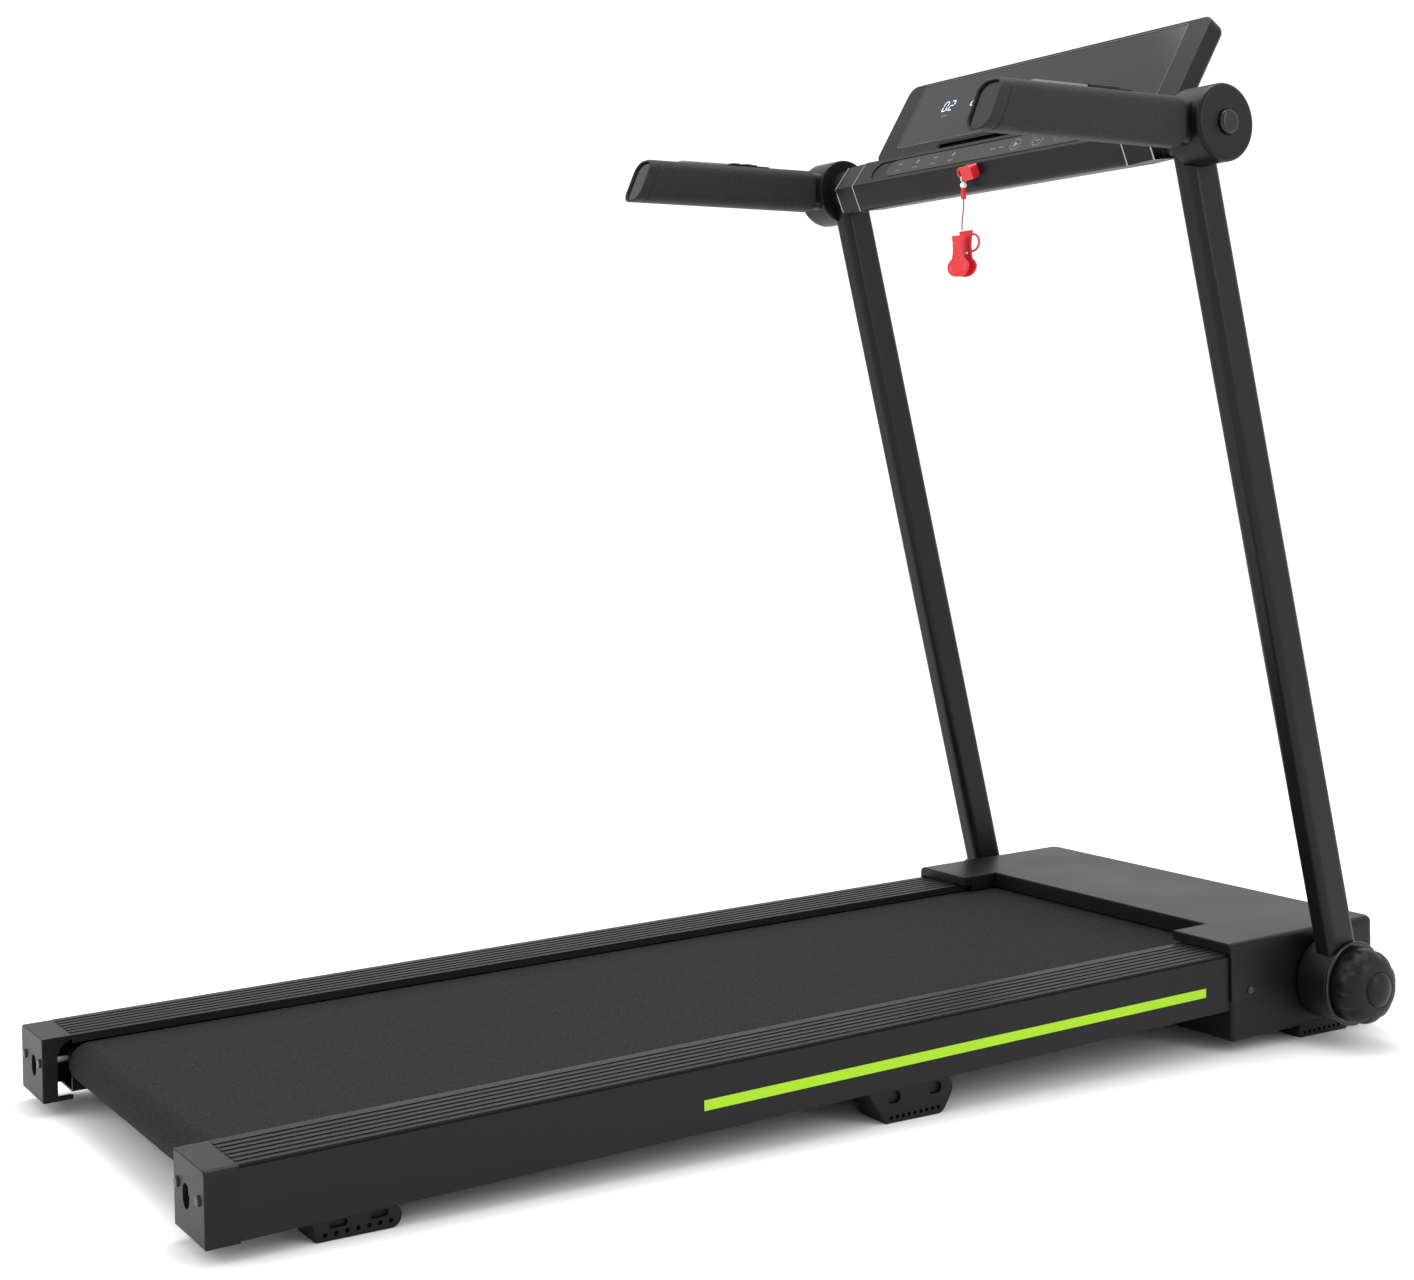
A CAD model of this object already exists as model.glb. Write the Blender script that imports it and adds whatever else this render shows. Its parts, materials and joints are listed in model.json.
import json
import math

import bmesh
import bpy
import numpy as np
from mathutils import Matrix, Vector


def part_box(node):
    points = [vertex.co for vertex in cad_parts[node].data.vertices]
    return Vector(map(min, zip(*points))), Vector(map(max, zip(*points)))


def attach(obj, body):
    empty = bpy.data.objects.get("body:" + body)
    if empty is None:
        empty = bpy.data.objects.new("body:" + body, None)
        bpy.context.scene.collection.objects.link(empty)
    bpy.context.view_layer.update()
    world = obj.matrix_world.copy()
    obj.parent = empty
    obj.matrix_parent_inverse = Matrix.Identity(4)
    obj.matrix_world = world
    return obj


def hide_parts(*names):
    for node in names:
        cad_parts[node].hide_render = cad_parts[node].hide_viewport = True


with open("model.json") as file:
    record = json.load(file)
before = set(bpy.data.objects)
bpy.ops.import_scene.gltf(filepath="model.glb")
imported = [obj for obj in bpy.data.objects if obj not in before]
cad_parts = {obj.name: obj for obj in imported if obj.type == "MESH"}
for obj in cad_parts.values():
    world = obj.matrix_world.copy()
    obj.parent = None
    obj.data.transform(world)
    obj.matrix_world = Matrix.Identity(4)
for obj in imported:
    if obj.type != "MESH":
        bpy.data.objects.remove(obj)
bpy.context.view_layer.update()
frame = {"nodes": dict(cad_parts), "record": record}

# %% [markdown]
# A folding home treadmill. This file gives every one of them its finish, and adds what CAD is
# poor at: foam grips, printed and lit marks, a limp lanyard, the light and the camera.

nodes = frame["nodes"]

# %% [markdown]
# The deck stands slightly nose-up on its feet. It is easier to think in the deck's own frame,
# where the rails are level, and to turn finished points onto the floor. These are the same
# numbers that the CAD model was stood up with, in metres.

# %% The deck's frame and the floor's
DECK_SLOPE = math.radians(1.6)
LENGTH_SHIFT = -0.705304
FLOOR_SHIFT = -0.020392


def stand_up(points):
    """Turns deck points (n, 3) about X by the slope, then moves them onto the floor."""
    points = np.asarray(points, float)
    c, s = math.cos(DECK_SLOPE), math.sin(DECK_SLOPE)
    x, y, z = points[..., 0], points[..., 1], points[..., 2]
    return np.stack([x, y * c - z * s + LENGTH_SHIFT, y * s + z * c + FLOOR_SHIFT], -1)


print("lower pivot:", stand_up([0.0, 1.320, 0.0539]).round(4))

# %% [markdown]
# The camera comes first, because everything after it is judged through it. It stands behind
# and to the right of the runner's place, about at hip height, and looks forward and left.
# Its sight lines are worked out in the deck's frame and then turned like any other point.

# %% Camera
from mathutils import Matrix, Vector


def camera_matrix(place, yaw, pitch, roll):
    """Right, up and back vectors from yaw about Z, pitch above the deck and roll about the sight line."""
    yaw, pitch, roll = (math.radians(v) for v in (yaw, pitch, roll))
    forward = np.array([-math.sin(yaw) * math.cos(pitch), math.cos(yaw) * math.cos(pitch), math.sin(pitch)])
    right = np.array([math.cos(yaw), math.sin(yaw), 0.0])
    up = np.cross(right, forward)
    right, up = (math.cos(roll) * right + math.sin(roll) * up,
                 math.cos(roll) * up - math.sin(roll) * right)
    origin = stand_up([0.0, 0.0, 0.0])
    axes = [stand_up(v) - origin for v in (right, up, -forward)]
    matrix = np.eye(4)
    matrix[:3, :3] = np.array(axes).T
    matrix[:3, 3] = stand_up(place)
    return Matrix(matrix.tolist())


camera_data = bpy.data.cameras.new("camera")
camera = bpy.data.objects.new("camera", camera_data)
bpy.context.scene.collection.objects.link(camera)
camera.matrix_world = camera_matrix([1.8927, -0.5607, 0.6740], 56.59, -1.11, -0.99)
camera_data.sensor_width = 36.0
camera_data.lens = 53.13
camera_data.shift_x = -0.0106
camera_data.shift_y = -0.1089
camera_data.clip_end = 60.0
bpy.context.scene.camera = camera
print("camera at", [round(v, 3) for v in camera.location])

# %% [markdown]
# The lanyard is a thin braided cord from the safety key's ferrule to a clip for the runner's
# shirt. A NURBS curve gives it the even, slightly slack line of a limp cord: its control
# points are the corners of the route, and the curve never quite touches them.

# %% Lanyard
CORD_TOP = (-0.0200, 1.051807, 0.961446)
LANYARD_DIAMETER = 0.0016
route = stand_up([
    [CORD_TOP[0], CORD_TOP[1], CORD_TOP[2]],
    [CORD_TOP[0], CORD_TOP[1], CORD_TOP[2] - 0.012],
    [CORD_TOP[0] - 0.002, CORD_TOP[1] - 0.0015, CORD_TOP[2] - 0.025],
    [CORD_TOP[0] - 0.002, CORD_TOP[1] - 0.0015, CORD_TOP[2] - 0.037],
])
cord_curve = bpy.data.curves.new("lanyard_cord", "CURVE")
cord_curve.dimensions = "3D"
spline = cord_curve.splines.new("NURBS")
spline.points.add(len(route) - 1)
spline.points.foreach_set("co", np.column_stack([route, np.ones(len(route))]).ravel())
spline.order_u = 3
spline.use_endpoint_u = True
spline.resolution_u = 12
cord_curve.bevel_depth = LANYARD_DIAMETER / 2
cord_curve.bevel_resolution = 4
cord_curve.use_fill_caps = True
lanyard = bpy.data.objects.new("lanyard_cord", cord_curve)
bpy.context.scene.collection.objects.link(lanyard)
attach(lanyard, "lanyard")
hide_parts("lanyard")
print("lanyard from", route[0].round(4), "to", route[-1].round(4))

# %% [markdown]
# Surfaces are built as whole arrays of points. A grid of rows and columns becomes a mesh with
# one face between each four neighbours. Closing the grid one way makes a tube, and closing it
# both ways makes a ring, which has no open edge at all.

# %% Mesh helpers
def add_mesh(name, points, faces, body, finish=None, smooth=True):
    """Makes a mesh object from points already on the floor, and lets it ride on a CAD body."""
    mesh = bpy.data.meshes.new(name)
    mesh.from_pydata(np.asarray(points).tolist(), [], [list(f) for f in faces])
    mesh.validate()
    mesh.polygons.foreach_set("use_smooth", np.full(len(mesh.polygons), smooth))
    mesh.update()
    piece = bpy.data.objects.new(name, mesh)
    bpy.context.scene.collection.objects.link(piece)
    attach(piece, body)
    if finish is not None:
        mesh.materials.append(finish)
    return piece


def grid_faces(rows, columns, close_rows=False, close_columns=True, start=0):
    """Faces between neighbouring points of a grid: (r, c), (r, c+1), (r+1, c+1), (r+1, c)."""
    r = np.arange(rows if close_rows else rows - 1)[:, None]
    c = np.arange(columns if close_columns else columns - 1)[None, :]
    r2, c2 = (r + 1) % rows, (c + 1) % columns
    corners = [r * columns + c, r * columns + c2, r2 * columns + c2, r2 * columns + c]
    return start + np.stack(np.broadcast_arrays(*corners), -1).reshape(-1, 4)


def merge_and_face_out(piece):
    """Joins points that meet at a pole or a seam, and turns every face outwards."""
    work = bmesh.new()
    work.from_mesh(piece.data)
    bmesh.ops.remove_doubles(work, verts=work.verts, dist=1e-6)
    bmesh.ops.dissolve_degenerate(work, edges=work.edges, dist=1e-7)
    bmesh.ops.recalc_face_normals(work, faces=work.faces)
    work.to_mesh(piece.data)
    work.free()
    piece.data.update()


print("a 3 by 4 tube has", len(grid_faces(3, 4)), "faces")

# %% [markdown]
# Materials are networks of nodes, and a network reads best as a formula. This small class
# wraps one socket, so that noise * 0.2 + 0.4 adds the Math nodes by itself.

# %% Shader sums as Python expressions
class Sum:
    """One output socket, with operators that add Math nodes to its material."""

    def __init__(self, tree, socket):
        self.tree, self.socket = tree, socket

    def math(self, operation, *values):
        return self.tree.node("ShaderNodeMath", {"operation": operation}, dict(enumerate((self, *values))))

    def __add__(self, other):
        return self.math("ADD", other)

    def __mul__(self, other):
        return self.math("MULTIPLY", other)

    def __sub__(self, other):
        return self.math("SUBTRACT", other)

    def __rsub__(self, other):
        return self.tree.node("ShaderNodeMath", {"operation": "SUBTRACT"}, {0: other, 1: self})

    def __pow__(self, other):
        return self.math("POWER", other)

    __radd__ = __add__
    __rmul__ = __mul__


class Finish:
    """A material under construction. node() adds one node and returns its first or named output."""

    def __init__(self, name):
        self.material = bpy.data.materials.new(name)
        self.material.use_nodes = True
        self.nodes = self.material.node_tree.nodes
        self.links = self.material.node_tree.links
        self.shader = next(n for n in self.nodes if n.type == "BSDF_PRINCIPLED")

    def node(self, kind, settings, inputs, output=0):
        made = self.nodes.new(kind)
        for key, value in settings.items():
            if key == "stops":
                ramp = made.color_ramp
                while len(ramp.elements) < len(value):
                    ramp.elements.new(0.5)
                for element, (place, colour) in zip(ramp.elements, value):
                    element.position = place
                    element.color = colour
            else:
                setattr(made, key, value)
        for key, value in inputs.items():
            self.feed(made.inputs[key], value)
        return Sum(self, made.outputs[output])

    def feed(self, socket, value):
        if isinstance(value, Sum):
            self.links.new(value.socket, socket)
        else:
            socket.default_value = value

    def set(self, **values):
        """Sets sockets of the main shader; underscores stand for the spaces in their names."""
        for key, value in values.items():
            self.feed(self.shader.inputs[key.replace("_", " ")], value)
        return self

    def place(self, scale=(1.0, 1.0, 1.0), turn=(0.0, 0.0, 0.0)):
        """Object coordinates, scaled and turned."""
        where = self.node("ShaderNodeTexCoord", {}, {}, "Object")
        return self.node("ShaderNodeMapping", {}, {"Vector": where, "Scale": scale, "Rotation": turn})

    def noise(self, scale, detail=3.0, rough=0.55, where=None, output="Factor"):
        made = self.nodes.new("ShaderNodeTexNoise")
        self.feed(made.inputs["Vector"], where or self.place())
        self.feed(made.inputs["Scale"], scale)
        self.feed(made.inputs["Detail"], detail)
        self.feed(made.inputs["Roughness"], rough)
        return Sum(self, made.outputs[0])

    def cells(self, scale, feature="DISTANCE_TO_EDGE", where=None):
        made = self.nodes.new("ShaderNodeTexVoronoi")
        made.feature = feature
        self.feed(made.inputs["Vector"], where or self.place())
        self.feed(made.inputs["Scale"], scale)
        return Sum(self, made.outputs["Distance"])

    def ramp(self, value, low, high):
        """0 below low, 1 above high and straight between."""
        return self.node("ShaderNodeMapRange", {"clamp": True}, {"Value": value, "From Min": low, "From Max": high})

    def mix(self, factor, a, b):
        """A colour between a and b."""
        made = self.nodes.new("ShaderNodeMix")
        made.data_type = "RGBA"
        self.feed(made.inputs[0], factor)
        for socket, value in ((made.inputs[6], a), (made.inputs[7], b)):
            self.feed(socket, value if isinstance(value, Sum) else (*value, 1.0))
        return Sum(self, made.outputs[2])

    def bump(self, height, distance, strength=1.0, after=None):
        inputs = {"Height": height, "Distance": distance, "Strength": strength}
        if after is not None:
            inputs["Normal"] = after
        return self.node("ShaderNodeBump", {}, inputs)


print("shader helpers ready")

# %% [markdown]
# Nearly everything on this machine is black, and what tells its parts apart is how each black
# takes the light. Moulded plastic has a fine spark-eroded grain that spreads highlights, paint
# on steel is smoother with a faint orange peel, and handling leaves slightly shinier patches.

# %% Black plastics and paints
def moulded(name, colour, rough, grain=900.0, depth=0.00006, handled=0.06):
    """Grained plastic: noise bump, and roughness that drifts by a little over a hand's width."""
    finish = Finish(name)
    grain_height = finish.noise(grain, 2.0)
    drift = finish.noise(9.0, 3.0)
    dust = finish.ramp(finish.noise(420.0, 2.0), 0.62, 0.74)
    base = finish.mix(dust * 0.35, colour, tuple(c * 2.2 + 0.004 for c in colour))
    finish.set(Base_Color=base, Roughness=drift * (2 * handled) + (rough - handled),
               Normal=finish.bump(grain_height, depth, 0.8))
    finish.set(Specular_IOR_Level=0.2)
    return finish.material


def painted(name, colour, rough):
    """Powder coat: a soft orange peel at two scales over a dark base, with a thin clear skin."""
    finish = Finish(name)
    peel = finish.noise(260.0, 2.0) * 0.7 + finish.noise(1200.0, 2.0) * 0.3
    drift = finish.noise(6.0, 4.0)
    base = finish.mix(drift, tuple(c * 0.8 for c in colour), tuple(c * 1.25 for c in colour))
    finish.set(Base_Color=base, Roughness=drift * 0.12 + (rough - 0.06),
               Normal=finish.bump(peel, 0.00009, 0.6))
    finish.set(Specular_IOR_Level=0.22)
    return finish.material


finishes = {
    "powder_coat": painted("powder_coat", (0.0042, 0.0043, 0.0048), 0.34),
    "rail_plastic": moulded("rail_plastic", (0.0052, 0.0054, 0.006), 0.44, 1100.0),
    "housing_plastic": moulded("housing_plastic", (0.0042, 0.0043, 0.0048), 0.4),
    "dark_plastic": moulded("dark_plastic", (0.004, 0.004, 0.0045), 0.5, 700.0, 0.00009),
    "motor_paint": painted("motor_paint", (0.03, 0.03, 0.033), 0.3),
    "dark_steel": painted("dark_steel", (0.03, 0.03, 0.032), 0.3),
}
print("black finishes:", sorted(finishes))

# %% [markdown]
# The running belt's top is a woven cloth coated in PVC and pressed with a fine random grain.
# It looks dry and dark, with paler flecks where shoes have polished the peaks. Fine
# cells make the grain, and a broad drift along the run makes the worn patches.

# %% Running belt and rubbers
belt = Finish("belt_rubber")
grain_cells = belt.cells(430.0, "F1")
fleck = belt.noise(760.0, 3.0, 0.7)
worn = belt.noise(9.0, 4.0, 0.6, belt.place(scale=(1.4, 0.8, 1.0)))
peaks = belt.ramp(fleck, 0.52, 0.72)
belt.set(Base_Color=belt.mix(peaks * (worn * 0.6 + 0.3), (0.008, 0.008, 0.0085), (0.05, 0.051, 0.054)),
         Roughness=0.9 - peaks * 0.2,
         Normal=belt.bump(grain_cells * 0.6 + fleck * 0.4, 0.0005, 0.8))
belt.set(Specular_IOR_Level=0.18)
finishes["belt_rubber"] = belt.material


def rubber(name, colour, rough):
    """Matt rubber with a fine bloom of paler dust."""
    finish = Finish(name)
    bloom = finish.noise(160.0, 4.0, 0.6)
    finish.set(Base_Color=finish.mix(bloom, colour, tuple(c * 1.8 for c in colour)), Roughness=rough + bloom * 0.1,
               Normal=finish.bump(finish.noise(900.0), 0.0001, 0.6))
    return finish.material


finishes["cushion_rubber"] = rubber("cushion_rubber", (0.02, 0.02, 0.021), 0.75)
print("rubber finishes added")

# %% [markdown]
# The grips are wrapped in grained foam. Under the palm it is a leather-like skin: small raised
# cells with fine creases between them. Distance to a Voronoi cell's edge gives the creases,
# and a little noise on the coordinates keeps the cells from looking like a honeycomb.

# %% Grip foam
foam = Finish("foam")
wander = foam.noise(130.0, 3.0)
cells_at = foam.node("ShaderNodeVectorMath", {"operation": "ADD"},
                     {0: foam.place(), 1: foam.node("ShaderNodeVectorMath", {"operation": "SCALE"},
                                                    {0: wander, "Scale": 0.0016})})
crease = foam.ramp(foam.cells(520.0, where=cells_at), 0.0, 0.22)
foam.set(Base_Color=foam.mix(crease, (0.003, 0.003, 0.0034), (0.0075, 0.0077, 0.0085)),
         Roughness=0.62 - crease * 0.14 + foam.noise(40.0) * 0.08,
         Normal=foam.bump(crease, 0.00035, 0.8))
foam.set(Specular_IOR_Level=0.35)
finishes["foam"] = foam.material
print("foam finish added")

# %% [markdown]
# Glossy black is used where the hand or the eye lands: keys, plugs, collars and the display
# window. A gloss is only convincing if it is not perfect, so it carries faint wipe marks.

# %% Gloss, glass and print
def glossy(name, colour, rough, smear=0.06, coat=0.0):
    """Smooth plastic whose roughness rises in faint wiped streaks."""
    finish = Finish(name)
    streak = finish.noise(14.0, 5.0, 0.65, finish.place(scale=(1.0, 3.0, 0.5)))
    finish.set(Base_Color=finish.mix(streak, colour, tuple(c * 1.15 for c in colour)),
               Roughness=finish.ramp(streak, 0.35, 0.8) * smear + rough,
               Normal=finish.bump(finish.noise(120.0, 2.0), 0.00002, 0.5))
    finish.set(Coat_Weight=coat, Specular_IOR_Level=0.4)
    return finish.material


finishes["gloss_black"] = glossy("gloss_black", (0.004, 0.004, 0.0045), 0.16)
finishes["screen_glass"] = glossy("screen_glass", (0.003, 0.0032, 0.004), 0.12, 0.05)
finishes["stripe_green"] = glossy("stripe_green", (0.28, 0.52, 0.0), 0.5, 0.08)
finishes["key_red"] = glossy("key_red", (0.58, 0.016, 0.024), 0.24, 0.08)
finishes["bead_white"] = glossy("bead_white", (0.78, 0.77, 0.74), 0.25, 0.1)
finishes["keypad_grey"] = moulded("keypad_grey", (0.03, 0.031, 0.034), 0.5, 1300.0, 0.00003)


def printed(name, colour, glow=0.0):
    """Screen-printed ink or a lit mark: a flat colour broken by the print's own fine grain."""
    finish = Finish(name)
    ink = finish.noise(900.0, 2.0)
    tone = finish.mix(ink, tuple(c * 0.8 for c in colour), colour)
    finish.set(Base_Color=tone, Roughness=0.45, Emission_Color=tone)
    finish.shader.inputs["Emission Strength"].default_value = glow
    return finish.material


mark_ink = printed("mark_ink", (0.2, 0.205, 0.22))
red_ink = printed("red_ink", (0.3, 0.03, 0.03))
lit_digits = printed("lit_digits", (0.62, 0.72, 1.0), 1.1)
line_ink = printed("line_ink", (0.1, 0.103, 0.11))
print("gloss, print and light added")

# %% [markdown]
# Bare metal shows how it was made. Turned and drawn steel has fine lines round or along it,
# plating is even with small dull spots, and a cast or extruded sink is soft and milky.

# %% Metals, wood and the rest
def metal(name, colour, rough, stretch=(1.0, 1.0, 1.0), line=500.0):
    """Metal with fine machining lines: noise squeezed along one axis, in roughness and bump."""
    finish = Finish(name)
    lines = finish.noise(line, 3.0, where=finish.place(scale=stretch))
    spots = finish.ramp(finish.noise(45.0, 4.0, 0.7), 0.55, 0.75)
    finish.set(Base_Color=finish.mix(spots * 0.5, colour, tuple(c * 0.72 for c in colour)), Metallic=1.0,
               Roughness=lines * 0.16 + spots * 0.12 + (rough - 0.08), Normal=finish.bump(lines, 0.00004, 0.5))
    return finish.material


finishes["steel"] = metal("steel", (0.52, 0.53, 0.55), 0.3, (6.0, 1.0, 1.0))
finishes["zinc"] = metal("zinc", (0.56, 0.56, 0.55), 0.36, (4.0, 1.0, 1.0))
finishes["chrome_trim"] = metal("chrome_trim", (0.3, 0.305, 0.315), 0.2, (1.0, 1.0, 1.0), 300.0)
finishes["sensor_metal"] = metal("sensor_metal", (0.2, 0.205, 0.215), 0.28, (1.0, 8.0, 1.0))
finishes["heat_sink"] = metal("heat_sink", (0.5, 0.5, 0.51), 0.42, (1.0, 5.0, 1.0))

wood = Finish("board_wood")
fibre = wood.noise(60.0, 6.0, 0.7, wood.place(scale=(2.5, 0.3, 2.5)))
wood.set(Base_Color=wood.mix(fibre, (0.02, 0.016, 0.013), (0.07, 0.055, 0.043)), Roughness=0.3 + fibre * 0.2,
         Normal=wood.bump(fibre, 0.0001, 0.5))
finishes["board_wood"] = wood.material

circuit = Finish("circuit_board")
tracks = circuit.ramp(circuit.cells(150.0), 0.02, 0.05)
circuit.set(Base_Color=circuit.mix(tracks, (0.02, 0.16, 0.06), (0.008, 0.07, 0.025)), Roughness=0.35,
            Normal=circuit.bump(tracks, 0.00005, 0.6))
finishes["circuit_board"] = circuit.material

braid = Finish("cord_dark")
strands = braid.node("ShaderNodeTexWave", {"wave_type": "BANDS", "bands_direction": "DIAGONAL"},
                     {"Vector": braid.place(), "Scale": 600.0, "Distortion": 2.0})
braid.set(Base_Color=braid.mix(strands, (0.28, 0.02, 0.02), (0.5, 0.06, 0.06)), Roughness=0.75,
          Normal=braid.bump(strands, 0.0002, 0.7))
finishes["cord_dark"] = braid.material
cord_curve.materials.append(finishes["cord_dark"])
print("finishes:", len(finishes))

# %% [markdown]
# Each CAD piece already names its material in the model's record, so one loop can dress the
# whole machine: look up the piece's slot, and put the finish of that name on its mesh.

# %% Dress the CAD pieces
for part in frame["record"]["subparts"]:
    mesh = nodes[part["node"]].data
    for index in range(max(1, len(mesh.materials))):
        if index < len(mesh.materials):
            mesh.materials[index] = finishes[part["material_slot"]]
        else:
            mesh.materials.append(finishes[part["material_slot"]])

# %% [markdown]
# A foam grip is a skin with thickness. Walking once round its wall, from the inner rear edge
# out over the rolled end, along the outside, round the front and back along the inside,
# gives a list of rows. Each row is a rounded rectangle. Joined in a ring, they close by themselves.

# %% Foam grips
GRIP_X, GRIP_Z = 0.3272, 1.0040
GRIP_WIDTH, GRIP_HEIGHT, GRIP_ROUND, GRIP_WALL = 0.0386, 0.0526, 0.0140, 0.0024
GRIP_REAR_LOW, GRIP_REAR_HIGH, GRIP_FRONT = 0.774, 0.798, 1.0459


def rounded_rectangle(width, height, radius, per_corner=8):
    """Corner arcs about four centres, in order round the outline: centre + radius (cos, sin)."""
    turn = np.linspace(0.0, math.pi / 2, per_corner)
    starts = np.arange(4)[:, None] * (math.pi / 2)
    angle = (starts + turn[None, :]).ravel()
    centre = np.repeat(np.array([[1, 1], [-1, 1], [-1, -1], [1, -1]]), per_corner, 0)
    half = np.array([width / 2 - radius, height / 2 - radius])
    return centre * half + radius * np.stack([np.cos(angle), np.sin(angle)], -1)


def grip_rows():
    """Distance from the rear end and inset from the outer skin, row by row round the wall."""
    roll = np.linspace(0.0, math.pi / 2, 7)
    rear_in = np.stack([0.0022 * (1 - np.sin(roll)), 0.0022 * (1 - np.cos(math.pi / 2 - roll))], -1)
    rear = np.stack([0.0022 - 0.0022 * np.sin(roll), 0.0022 - 0.0022 * np.cos(roll)], -1)[::-1]
    groove = np.array([[0.0145, 0.0], [0.0152, 0.0001], [0.0158, 0.0007], [0.0164, 0.0007], [0.0170, 0.0001],
                       [0.0178, 0.0]])
    length = GRIP_FRONT - GRIP_REAR_LOW
    along = np.stack([np.linspace(0.03, length - 0.006, 24), np.zeros(24)], -1)
    front = np.array([[length - 0.002, 0.0], [length - 0.0008, 0.0004], [length, 0.0012], [length, GRIP_WALL]])
    back = np.array([[0.0, GRIP_WALL]])
    return np.concatenate([back, rear, groove, along, front])


def grip_points(side):
    """Every row's outline is placed along the handle; the rear rows slant with the cut end."""
    rows = grip_rows()
    length = GRIP_FRONT - GRIP_REAR_LOW
    sheets = []
    for distance, inset in rows:
        outline = rounded_rectangle(GRIP_WIDTH - 2 * inset, GRIP_HEIGHT - 2 * inset, GRIP_ROUND - inset)
        share = outline[:, 1] / GRIP_HEIGHT + 0.5
        slant = (GRIP_REAR_HIGH - GRIP_REAR_LOW) * share * max(0.0, 1 - distance / 0.12)
        y = GRIP_REAR_LOW + distance + slant
        sheets.append(np.stack([side * (GRIP_X + outline[:, 0]), y, GRIP_Z + outline[:, 1]], -1))
    return stand_up(np.concatenate(sheets)), len(rows), len(sheets[0])


parts, faces, start = [], [], 0
for side in (1, -1):
    points, row_count, column_count = grip_points(side)
    ring = grid_faces(row_count, column_count, close_rows=True, start=start)
    faces.append(ring if side < 0 else ring[:, ::-1])
    parts.append(points)
    start += len(points)
grip_wraps = add_mesh("grip_wraps", np.concatenate(parts), np.concatenate(faces), "handles",
                      finishes["foam"])
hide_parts("grips")
print("grips:", len(grip_wraps.data.vertices), "points")

# %% [markdown]
# The garment clip is two moulded halves like a clothes peg: a ribbed thumb plate that narrows at
# the waist and spreads into a round dished jaw, and two crescent loops at the back half's sides.
# A half is one grid: down its length the half-width follows a formula, and the thickness wraps it.

# %% Garment clip
def clip_half(facing, low, high, middle, top, length):
    """Points of one half. facing is -1 for the runner's side, +1 for the far side.

    With t from 0 at the top to 1 at the foot, the half-width is 11.5 mm less a waist of
    2.6 sin(pi t / 0.62), then the chord of an oval 19 mm by 11.8 mm. Ribs are raised cosines.
    """
    t = np.linspace(0.0, 1.0, 72)
    disc, centre = 0.0118, length - 0.0118
    waist = 0.0115 - 0.0026 * np.sin(np.pi * np.clip(t / 0.62, 0.0, 1.0))
    chord = 1.6 * np.sqrt(np.maximum(disc ** 2 - (t * length - centre) ** 2, 0.0))
    half_width = np.maximum(np.where(t < 0.62, waist, 0.0), chord)
    half_width = np.maximum(half_width, 0.0006)
    across_share = np.linspace(-1.0, 1.0, 41)
    ribs = 0.0007 * np.maximum(np.cos(4.5 * np.pi * across_share), 0.0)[None, :] * (t < 0.58)[:, None]
    ribs = ribs * np.clip(6 * (1 - np.abs(across_share)), 0.0, 1.0)[None, :]
    x = middle + half_width[:, None] * across_share[None, :]
    z = (top - length * t)[:, None] + 0.0 * x
    radial = np.hypot((x - middle) / 1.6, z - (top - centre)) / disc
    dish = 0.0013 * np.clip(1.0 - (radial / 0.82) ** 4, 0.0, 1.0) * (t > 0.5)[:, None]
    outer = (low if facing < 0 else high) - facing * (0.0007 + dish) + facing * ribs
    inner = (high if facing < 0 else low) + 0.0 * x
    front = np.stack([x, outer, z], -1)
    back = np.stack([x[:, ::-1], inner, z], -1)
    return np.concatenate([front, back], 1)


def clip_mesh(name, node, body, facing):
    """One half in its CAD node's box, closed at its top and foot by strips between its two faces."""
    low, high = (np.array(corner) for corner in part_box(node))
    plate = 0.0030
    near, far = (low[1], low[1] + plate) if facing < 0 else (high[1] - plate, high[1])
    middle = -0.0220
    points = clip_half(facing, near, far, middle, high[2], high[2] - low[2])
    rows, columns = points.shape[:2]
    faces = [list(f) for f in grid_faces(rows, columns)]
    half = columns // 2
    for row in (0, rows - 1):
        for i in range(half - 1):
            here = row * columns
            strip = [here + i, here + i + 1, here + columns - 2 - i, here + columns - 1 - i]
            faces.append(strip if row else strip[::-1])
    piece = add_mesh(name, points.reshape(-1, 3), faces, body, finishes["key_red"])
    merge_and_face_out(piece)
    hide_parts(node)
    print(name, points.shape, "from", low.round(4), "to", high.round(4))
    return piece


front_half = clip_mesh("clip_thumb_half", "clip_front", "clip_jaw", -1)
back_half = clip_mesh("clip_far_half", "clip_back", "lanyard", 1)

# An oval loop: a round wire of radius 1.4 mm carried once round an ellipse in the plate's plane.
back_low, back_high = (np.array(corner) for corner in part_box("clip_back"))
turn = np.linspace(0.0, 2 * math.pi, 48, endpoint=False)[:, None]
wire = np.linspace(0.0, 2 * math.pi, 12, endpoint=False)[None, :]
loops, loop_faces = [], []
for side in (1, -1):
    grow = 0.0014 * np.cos(wire)
    loop_x = -0.0220 + side * (0.0112 + (0.0122 + grow) * np.cos(turn))
    loop_z = back_high[2] - 0.0150 + (0.0100 + grow) * np.sin(turn)
    loop_y = back_high[1] - 0.0015 + 0.0014 * np.sin(wire) + 0.0 * turn
    ring = grid_faces(48, 12, close_rows=True, start=len(loops) * 48 * 12)
    loop_faces.append(ring if side < 0 else ring[:, ::-1])
    loops.append(np.stack([loop_x, loop_y, loop_z], -1).reshape(-1, 3))
add_mesh("clip_loops", np.concatenate(loops), np.concatenate(loop_faces), "lanyard",
         finishes["key_red"])
print("clip loops:", len(loops))

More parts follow.
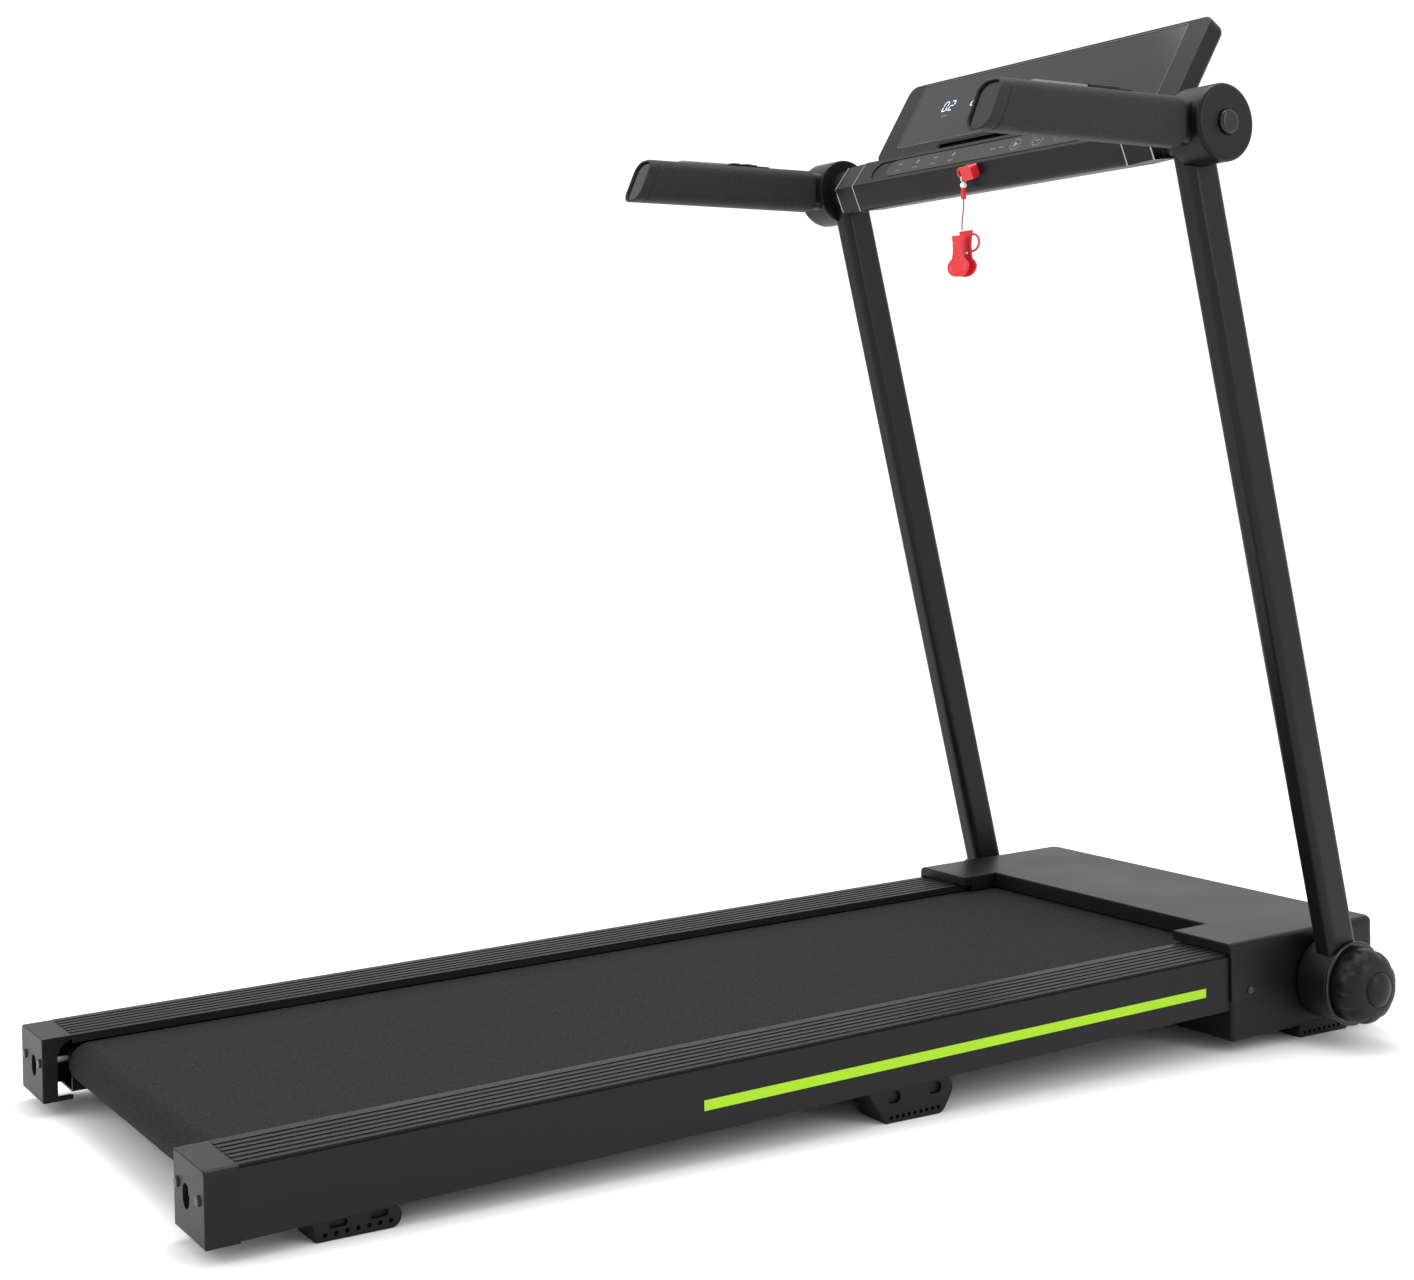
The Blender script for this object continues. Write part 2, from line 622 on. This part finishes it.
# %% [markdown]
# The folding knob is a dome that the palm fits over, with shallow flutes for the fingers. It is a
# surface of revolution whose radius dips by a cosine power at each flute, most in mid-height, and
# fades out towards the rim and the face. A small boss swells from the middle.

# %% Folding knobs
def knob_points(side, low, high, flutes=10, depth=0.0024):
    """Radius by distance along the axis: straight wall, elliptic shoulder, flat ring, boss."""
    radius = (high[2] - low[2]) / 2
    centre = (low + high) / 2
    thick = high[0] - low[0]
    boss = 0.46 * radius
    rise = 0.0070
    lip = np.linspace(0.0, 1.0, 8)
    shoulder = np.linspace(0.0, math.pi / 2, 30)
    swell = np.linspace(0.0, math.pi / 2, 20)
    along = np.concatenate([np.zeros(1), 0.0008 * lip, thick * 0.30 + (thick - rise - 0.30 * thick) * np.sin(shoulder),
                            thick - rise - 0.0010 * np.ones(1), thick - rise + rise * np.sin(swell)])
    wide = np.concatenate([np.zeros(1), radius - 0.0008 + 0.0008 * lip,
                           boss * 1.12 + (radius - boss * 1.12) * np.cos(shoulder), boss * np.ones(1) * 1.04,
                           boss * np.cos(swell)])
    angle = np.linspace(0.0, 2 * math.pi, 160, endpoint=False)
    dip = depth * np.maximum(np.cos(flutes * angle / 2) ** 2, 0.0) ** 3
    fade = np.clip((along - 0.0030) / 0.006, 0.0, 1.0) * np.clip((0.8 * thick - along) / 0.010, 0.0, 1.0)
    spread = np.maximum(wide[:, None] - dip[None, :] * fade[:, None] * (wide[:, None] > boss * 1.2), 0.0)
    start = low[0] if side > 0 else high[0]
    x = start + side * along[:, None] + 0.0 * spread
    return np.stack([x, centre[1] + spread * np.cos(angle), centre[2] + spread * np.sin(angle)], -1)


for side, hand in ((1, "right"), (-1, "left")):
    node = "fold_knob_" + hand
    low, high = (np.array(corner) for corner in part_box(node))
    points = knob_points(side, low, high)
    faces = grid_faces(*points.shape[:2])
    slot = next(part["material_slot"] for part in frame["record"]["subparts"] if part["node"] == node)
    knob = add_mesh("fluted_knob_" + hand, points.reshape(-1, 3), faces if side < 0 else faces[:, ::-1],
                    node, finishes[slot])
    merge_and_face_out(knob)
    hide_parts(node)
    print(knob.name, len(knob.data.vertices), "points")

# %% [markdown]
# Flat marks lie on two slanted planes, the display's face and the keypad. A plane needs a
# point, a direction up the face and a normal. Then a mark can be drawn in plain 2-D, and a thin
# prism stands it a fraction of a millimetre proud, like thick ink.

# %% Planes for the printed marks
def face_frame(y, z, up_y, up_z):
    """A function from (u to the right, v up the face, w out of it) to points on the floor's frame."""
    size = math.hypot(up_y, up_z)
    up = np.array([0.0, up_y / size, up_z / size])
    out = np.array([0.0, -up_z / size, up_y / size])

    def put(u, v, w):
        u, v, w = np.broadcast_arrays(np.asarray(u, float), np.asarray(v, float), np.asarray(w, float))
        origin = np.array([0.0, y, z])
        return stand_up(origin + u[..., None] * np.array([1.0, 0.0, 0.0]) + v[..., None] * up + w[..., None] * out)

    return put


on_slab = face_frame(1.1097, 1.0376, math.sin(math.radians(32.0)), math.cos(math.radians(32.0)))
on_keypad = face_frame(1.06375, 1.0169, 0.0235, 0.0310)


def bar(u, v, width, height, radius, steps=4):
    """A rounded bar's outline about (u, v)."""
    radius = min(radius, width / 2 - 1e-6, height / 2 - 1e-6)
    return rounded_rectangle(width, height, radius, steps) + np.array([u, v])


def circle(u, v, radius, steps=28):
    """A circle's outline about (u, v)."""
    angle = np.linspace(0.0, 2 * math.pi, steps, endpoint=False)
    return np.stack([u + radius * np.cos(angle), v + radius * np.sin(angle)], -1)


class Marks:
    """Collects prisms and bands on one plane, and makes them one mesh."""

    def __init__(self, put, low, high):
        self.put, self.low, self.high = put, low, high
        self.points, self.faces, self.count = [], [], 0

    def solid(self, outline):
        """An outline made a prism: a lid, a floor and a wall between them."""
        n = len(outline)
        both = [self.put(outline[:, 0], outline[:, 1], w) for w in (self.low, self.high)]
        self.points.append(np.concatenate(both))
        self.faces += [list(self.count + f) for f in grid_faces(2, n)]
        self.faces.append([self.count + n + i for i in range(n)])
        self.faces.append([self.count + i for i in reversed(range(n))])
        self.count += 2 * n

    def band(self, outer, inner):
        """Two outlines with equal counts made a flat ring with walls."""
        n = len(outer)
        rings = [(outer, self.low), (outer, self.high), (inner, self.high), (inner, self.low)]
        self.points.append(np.concatenate([self.put(o[:, 0], o[:, 1], w) for o, w in rings]))
        self.faces += [list(self.count + f) for f in grid_faces(4, n, close_rows=True)]
        self.count += 4 * n

    def make(self, name, body, finish):
        return add_mesh(name, np.concatenate(self.points), self.faces, body, finish, smooth=False)


print("slab origin:", on_slab(0.0, 0.0, 0.0).round(4))

# %% [markdown]
# The display lights through its dark window in seven-segment figures. A segment is a bar with
# pointed ends. A digit is a choice of seven such bars, leaning a little to the right.

# %% Lit figures
SEGMENTS = {"0": "abcdef", "2": "abged", "8": "abcdefg", "1": "bc", "5": "afgcd"}
DIGIT_HEIGHT, DIGIT_WIDTH, STROKE, LEAN = 0.0140, 0.0074, 0.0011, 0.14


def segment(u, v, which):
    """One bar's six-cornered outline, sheared so that the digit leans."""
    half, tall = DIGIT_WIDTH / 2, DIGIT_HEIGHT / 2
    centre = {"a": (0, tall), "g": (0, 0), "d": (0, -tall), "b": (half, tall / 2), "c": (half, -tall / 2),
              "e": (-half, -tall / 2), "f": (-half, tall / 2)}[which]
    length = (DIGIT_WIDTH if which in "agd" else tall) - STROKE * 0.9
    shape = np.array([[-length / 2, 0], [-length / 2 + STROKE / 2, -STROKE / 2], [length / 2 - STROKE / 2, -STROKE / 2],
                      [length / 2, 0], [length / 2 - STROKE / 2, STROKE / 2], [-length / 2 + STROKE / 2, STROKE / 2]])
    if which not in "agd":
        shape = shape[:, ::-1] * np.array([-1, 1])
    shape = shape + np.array(centre)
    shape[:, 0] += LEAN * shape[:, 1]
    return shape + np.array([u, v])


figures = Marks(on_slab, -0.0003, -0.0001)
for left, text in ((-0.167, "02"), (-0.111, "28")):
    for place, digit in enumerate(text):
        for which in SEGMENTS[digit]:
            figures.solid(segment(left + 0.0125 * place, 0.073, which))
    figures.solid(bar(left + 0.0062, 0.0665, 0.0014, 0.0014, 0.0005))
figures.make("lit_figures", "mast", lit_digits)

captions = Marks(on_slab, -0.0003, -0.0002)
for left in (-0.167, -0.111):
    captions.solid(bar(left + 0.006, 0.0575, 0.012, 0.0012, 0.0005))
captions.make("caption_bars", "mast", mark_ink)

bezel = Marks(on_slab, -0.0003, 0.0002)
bezel.band(bar(0.0, 0.0675, 0.4632, 0.1002, 0.0052, 6), bar(0.0, 0.0675, 0.4616, 0.0986, 0.0046, 6))
bezel.make("window_bezel", "mast", line_ink)
print("display figures made")

# %% [markdown]
# The keypad is one printed membrane: small symbols on its left, three larger ringed keys on its
# right, and a stop key in red. The symbols here are generic ones that any such machine has.

# %% Keypad symbols
symbols = Marks(on_keypad, 0.00002, 0.00014)
for column, u in enumerate((-0.156, -0.122, -0.088, -0.054)):
    symbols.solid(bar(u, 0.004, 0.0075, 0.0011, 0.0004))
    if column % 2:
        symbols.solid(bar(u, 0.004, 0.0011, 0.0075, 0.0004))
    symbols.solid(bar(u, -0.0055, 0.010, 0.0009, 0.0004))
for u in (0.060, 0.098):
    symbols.band(circle(u, 0.0, 0.0084), circle(u, 0.0, 0.0077))
symbols.solid(np.array([[0.0572, -0.0040], [0.0645, 0.0], [0.0572, 0.0040]]))
symbols.solid(bar(0.098, 0.0, 0.0070, 0.0010, 0.0004))
for u in (0.020, 0.0345):
    symbols.solid(bar(u, 0.0, 0.0090, 0.0010, 0.0004))
symbols.make("keypad_symbols", "mast", mark_ink)

stop_mark = Marks(on_keypad, 0.00002, 0.00014)
stop_mark.band(circle(0.136, 0.0, 0.0084), circle(0.136, 0.0, 0.0077))
stop_mark.solid(bar(0.136, 0.0, 0.0060, 0.0060, 0.0006))
stop_mark.make("stop_symbol", "mast", red_ink)
print("keypad symbols made")

# %% [markdown]
# The stage is a pale floor that runs up into a pale sky, as in a photographer's studio. Black
# needs large, soft lights, because what we see of it is mostly what it reflects.

# %% Floor, sky and lights
floor_mesh = bpy.data.meshes.new("floor")
floor_mesh.from_pydata([(-14, -14, 0), (14, -14, 0), (14, 14, 0), (-14, 14, 0)], [], [(0, 1, 2, 3)])
floor = bpy.data.objects.new("floor", floor_mesh)
bpy.context.scene.collection.objects.link(floor)
pale = Finish("floor_paper")
pale.set(Base_Color=pale.mix(pale.noise(1.5), (0.9, 0.9, 0.9), (0.92, 0.92, 0.92)), Roughness=0.9)
floor_mesh.materials.append(pale.material)

world = bpy.data.worlds.new("sky")
world.use_nodes = True
world.node_tree.nodes["Background"].inputs["Color"].default_value = (1.0, 1.0, 1.0, 1.0)
world.node_tree.nodes["Background"].inputs["Strength"].default_value = 1.12
bpy.context.scene.world = world
bpy.context.scene.view_settings.view_transform = "Standard"


def softbox(name, place, aim, width, height, power):
    """A rectangular area light at place that faces aim."""
    data = bpy.data.lights.new(name, "AREA")
    data.shape = "RECTANGLE"
    data.size, data.size_y, data.energy = width, height, power
    lamp = bpy.data.objects.new(name, data)
    bpy.context.scene.collection.objects.link(lamp)
    lamp.location = place
    lamp.rotation_euler = (Vector(aim) - Vector(place)).to_track_quat("-Z", "Y").to_euler()
    return lamp


softbox("top_light", (-0.3, 0.2, 3.4), (0.0, 0.0, 0.3), 2.2, 2.2, 60.0)
softbox("rear_light", (-1.0, -3.2, 2.0), (0.0, 0.2, 0.5), 2.2, 1.8, 35.0)
softbox("side_light", (3.2, 1.4, 1.8), (0.2, 0.4, 0.4), 1.0, 2.4, 30.0)
print("stage lit")
